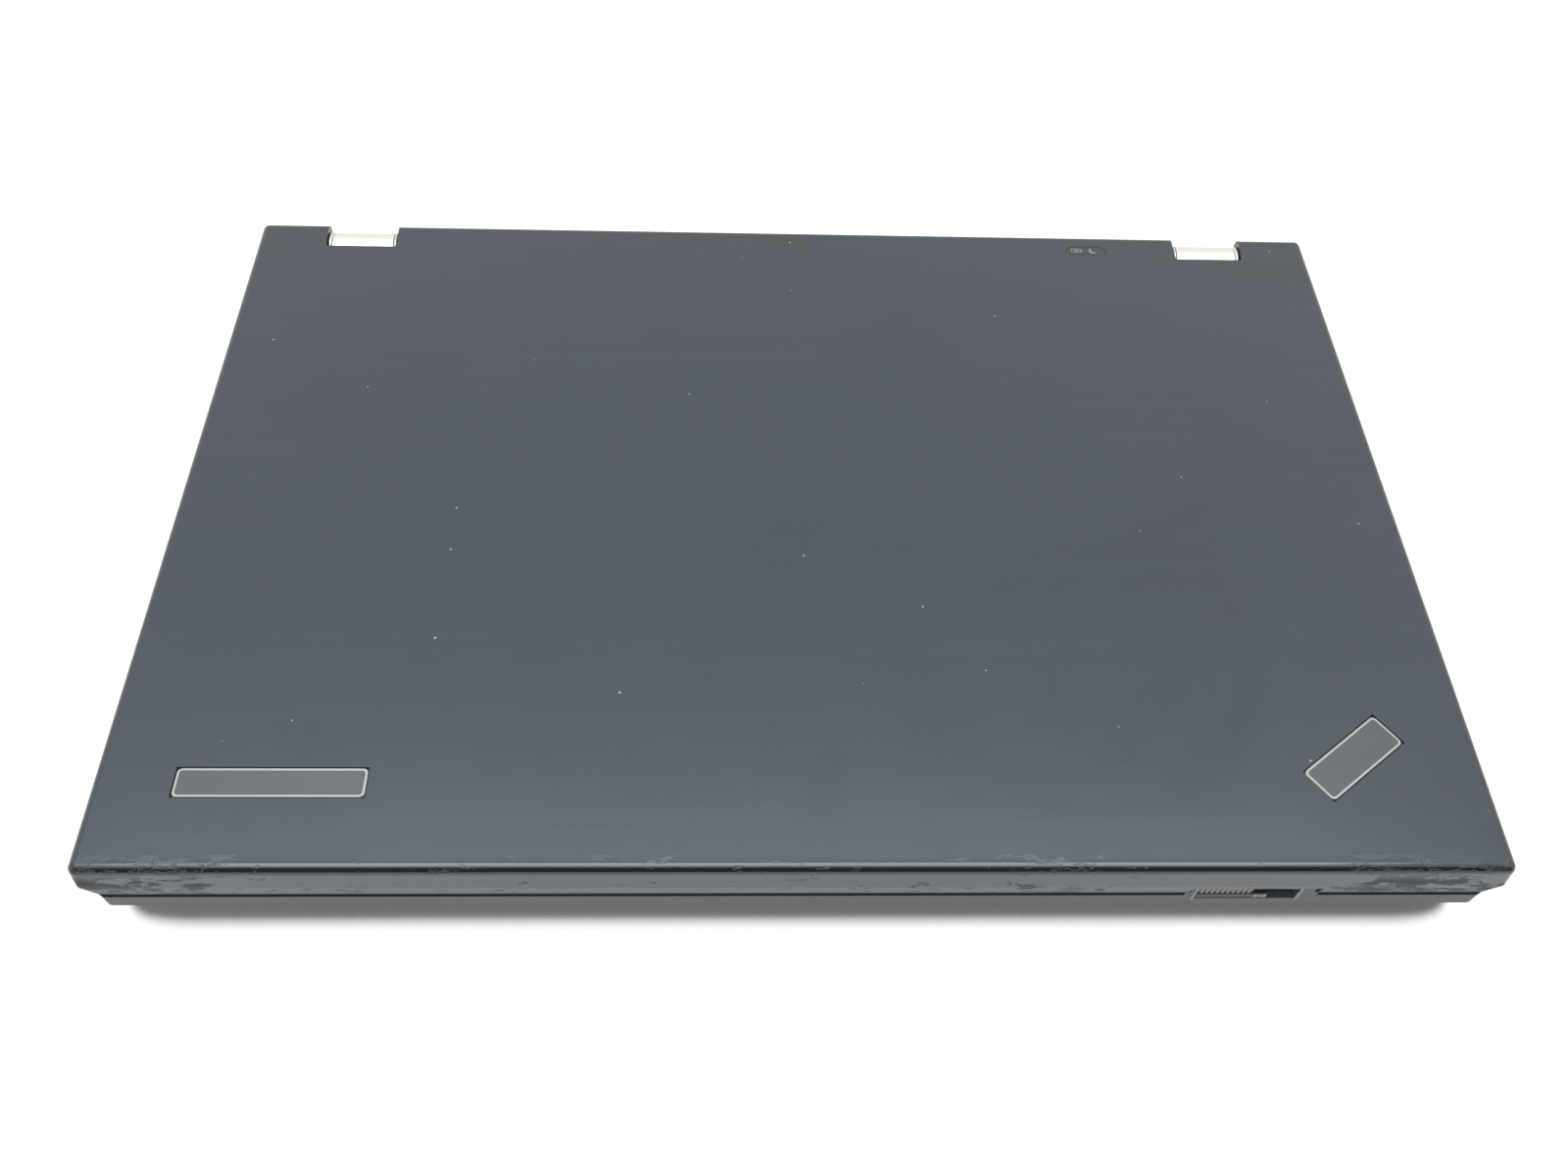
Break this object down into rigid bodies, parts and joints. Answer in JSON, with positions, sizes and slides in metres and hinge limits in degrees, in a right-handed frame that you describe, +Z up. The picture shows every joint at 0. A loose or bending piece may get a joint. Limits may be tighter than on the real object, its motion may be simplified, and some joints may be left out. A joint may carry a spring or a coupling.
{
  "type": "laptop computer",
  "caption": "Closed charcoal laptop computer: a flat lid with screen on two metal hinges over a base with keyboard, pad, drives, battery and side sockets.",
  "frame": {"origin": "on the floor under the middle of the closed laptop", "axes": "+X to the right across its width, +Y from the front edge to the hinges, +Z up"},
  "size_m": [0.3728, 0.2452, 0.0356],
  "materials": {
    "lid_paint": "soft rubbery matte paint, charcoal",
    "case_plastic": "fine-grained moulded plastic, charcoal",
    "key_plastic": "satin black key plastic",
    "pad_film": "textured touch film",
    "hinge_metal": "satin champagne silver",
    "steel": "bare steel",
    "drive_metal": "die-cast, bare",
    "screen_module": "folded sheet back",
    "screen_glass": "anti-glare film over a dark screen",
    "lens": "smoked window",
    "board": "solder mask green",
    "chip": "dark package",
    "copper": "bare copper",
    "fan_plastic": "black moulded plastic",
    "grille": "perforated, painted charcoal",
    "foot_rubber": "soft black rubber"
  },
  "bodies": {
    "base": {"base_cover": "case_plastic", "palm_rest": "case_plastic", "hinge_towers": "hinge_metal", "keyboard_tray": "steel", "pointer_stick": "key_plastic", "touchpad": "pad_film", "speaker_grilles": "grille", "speakers": "fan_plastic", "mainboard": "board", "processor": "chip", "heat_sink": "copper", "fan_housing": "fan_plastic", "memory_modules": "board", "wireless_card": "board", "storage_drive": "drive_metal", "access_door": "case_plastic", "optical_drive_case": "steel", "usb_ports": "steel", "display_port": "steel", "network_port": "steel", "power_inlet": "fan_plastic", "audio_jack": "fan_plastic", "base_screws": "steel", "rubber_feet": "foot_rubber"},
    "lid": {"lid_cover": "lid_paint", "lid_bezel": "case_plastic", "lcd_panel": "screen_module", "lcd_glass": "screen_glass", "camera_module": "lens", "status_window": "lens", "badge_plates": "hinge_metal", "hinge_arms": "steel", "hinge_pins": "steel", "latch_hooks": "case_plastic", "lid_bumpers": "foot_rubber", "bezel_screws": "steel"},
    "key_row_1": {"key_row_1": "key_plastic"},
    "key_row_2": {"key_row_2": "key_plastic"},
    "key_row_3": {"key_row_3": "key_plastic"},
    "key_row_4": {"key_row_4": "key_plastic"},
    "key_row_5": {"key_row_5": "key_plastic"},
    "key_row_6": {"key_row_6": "key_plastic"},
    "stick_button_left": {"stick_button_left": "key_plastic"},
    "stick_button_middle": {"stick_button_middle": "key_plastic"},
    "stick_button_right": {"stick_button_right": "key_plastic"},
    "pad_button_left": {"pad_button_left": "key_plastic"},
    "pad_button_right": {"pad_button_right": "key_plastic"},
    "mute_button": {"mute_button": "key_plastic"},
    "volume_down_button": {"volume_down_button": "key_plastic"},
    "volume_up_button": {"volume_up_button": "key_plastic"},
    "power_button": {"power_button": "key_plastic"},
    "latch_slider": {"latch_slider": "case_plastic"},
    "fan_rotor": {"fan_rotor": "fan_plastic"},
    "battery": {"battery": "case_plastic"},
    "battery_latch_left": {"battery_latch_left": "case_plastic"},
    "battery_latch_right": {"battery_latch_right": "case_plastic"},
    "wireless_switch": {"wireless_switch": "case_plastic"},
    "optical_tray": {"optical_tray": "case_plastic"},
    "disc_hub": {"disc_hub": "key_plastic"},
    "eject_button": {"eject_button": "key_plastic"}
  },
  "joints": [
    {"name": "lid_hinge", "type": "hinge", "parent": "base", "child": "lid", "pos_m": [0, 0.11655, 0.0285], "axis": [-1, 0, 0], "range_deg": [0, 180]},
    {"name": "key_row_1_press", "type": "slide", "parent": "base", "child": "key_row_1", "axis": [0, 0, -1], "range_m": [0, 0.002], "stiffness_N_per_m": 4000},
    {"name": "key_row_2_press", "type": "slide", "parent": "base", "child": "key_row_2", "axis": [0, 0, -1], "range_m": [0, 0.002], "stiffness_N_per_m": 4000},
    {"name": "key_row_3_press", "type": "slide", "parent": "base", "child": "key_row_3", "axis": [0, 0, -1], "range_m": [0, 0.002], "stiffness_N_per_m": 4000},
    {"name": "key_row_4_press", "type": "slide", "parent": "base", "child": "key_row_4", "axis": [0, 0, -1], "range_m": [0, 0.002], "stiffness_N_per_m": 4000},
    {"name": "key_row_5_press", "type": "slide", "parent": "base", "child": "key_row_5", "axis": [0, 0, -1], "range_m": [0, 0.002], "stiffness_N_per_m": 4000},
    {"name": "key_row_6_press", "type": "slide", "parent": "base", "child": "key_row_6", "axis": [0, 0, -1], "range_m": [0, 0.002], "stiffness_N_per_m": 4000},
    {"name": "stick_button_left_press", "type": "slide", "parent": "base", "child": "stick_button_left", "axis": [0, 0, -1], "range_m": [0, 0.0007], "stiffness_N_per_m": 900},
    {"name": "stick_button_middle_press", "type": "slide", "parent": "base", "child": "stick_button_middle", "axis": [0, 0, -1], "range_m": [0, 0.0007], "stiffness_N_per_m": 900},
    {"name": "stick_button_right_press", "type": "slide", "parent": "base", "child": "stick_button_right", "axis": [0, 0, -1], "range_m": [0, 0.0007], "stiffness_N_per_m": 900},
    {"name": "pad_button_left_press", "type": "slide", "parent": "base", "child": "pad_button_left", "axis": [0, 0, -1], "range_m": [0, 0.0007], "stiffness_N_per_m": 900},
    {"name": "pad_button_right_press", "type": "slide", "parent": "base", "child": "pad_button_right", "axis": [0, 0, -1], "range_m": [0, 0.0007], "stiffness_N_per_m": 900},
    {"name": "mute_button_press", "type": "slide", "parent": "base", "child": "mute_button", "axis": [0, 0, -1], "range_m": [0, 0.0007], "stiffness_N_per_m": 900},
    {"name": "volume_down_button_press", "type": "slide", "parent": "base", "child": "volume_down_button", "axis": [0, 0, -1], "range_m": [0, 0.0007], "stiffness_N_per_m": 900},
    {"name": "volume_up_button_press", "type": "slide", "parent": "base", "child": "volume_up_button", "axis": [0, 0, -1], "range_m": [0, 0.0007], "stiffness_N_per_m": 900},
    {"name": "power_button_press", "type": "slide", "parent": "base", "child": "power_button", "axis": [0, 0, -1], "range_m": [0, 0.0007], "stiffness_N_per_m": 900},
    {"name": "latch_slide", "type": "slide", "parent": "base", "child": "latch_slider", "axis": [1, 0, 0], "range_m": [0, 0.0075], "stiffness_N_per_m": 150},
    {"name": "battery_slide", "type": "slide", "parent": "base", "child": "battery", "axis": [0, 1, 0], "range_m": [0, 0.055]},
    {"name": "battery_latch_left_slide", "type": "slide", "parent": "base", "child": "battery_latch_left", "axis": [1, 0, 0], "range_m": [0, 0.006], "stiffness_N_per_m": 150},
    {"name": "battery_latch_right_slide", "type": "slide", "parent": "base", "child": "battery_latch_right", "axis": [1, 0, 0], "range_m": [0, 0.006]},
    {"name": "wireless_switch_slide", "type": "slide", "parent": "base", "child": "wireless_switch", "axis": [0, 1, 0], "range_m": [0, 0.003]},
    {"name": "optical_tray_slide", "type": "slide", "parent": "base", "child": "optical_tray", "axis": [1, 0, 0], "range_m": [0, 0.12]},
    {"name": "eject_button_press", "type": "slide", "parent": "optical_tray", "child": "eject_button", "axis": [-1, 0, 0], "range_m": [0, 0.0008], "stiffness_N_per_m": 600},
    {"name": "fan_spin", "type": "hinge", "parent": "base", "child": "fan_rotor", "pos_m": [-0.1453, 0.03625, 0.0075], "axis": [0, 0, 1], "continuous": true},
    {"name": "disc_spin", "type": "hinge", "parent": "optical_tray", "child": "disc_hub", "pos_m": [0.1218, -0.02905, 0.007], "axis": [0, 0, 1], "continuous": true}
  ]
}
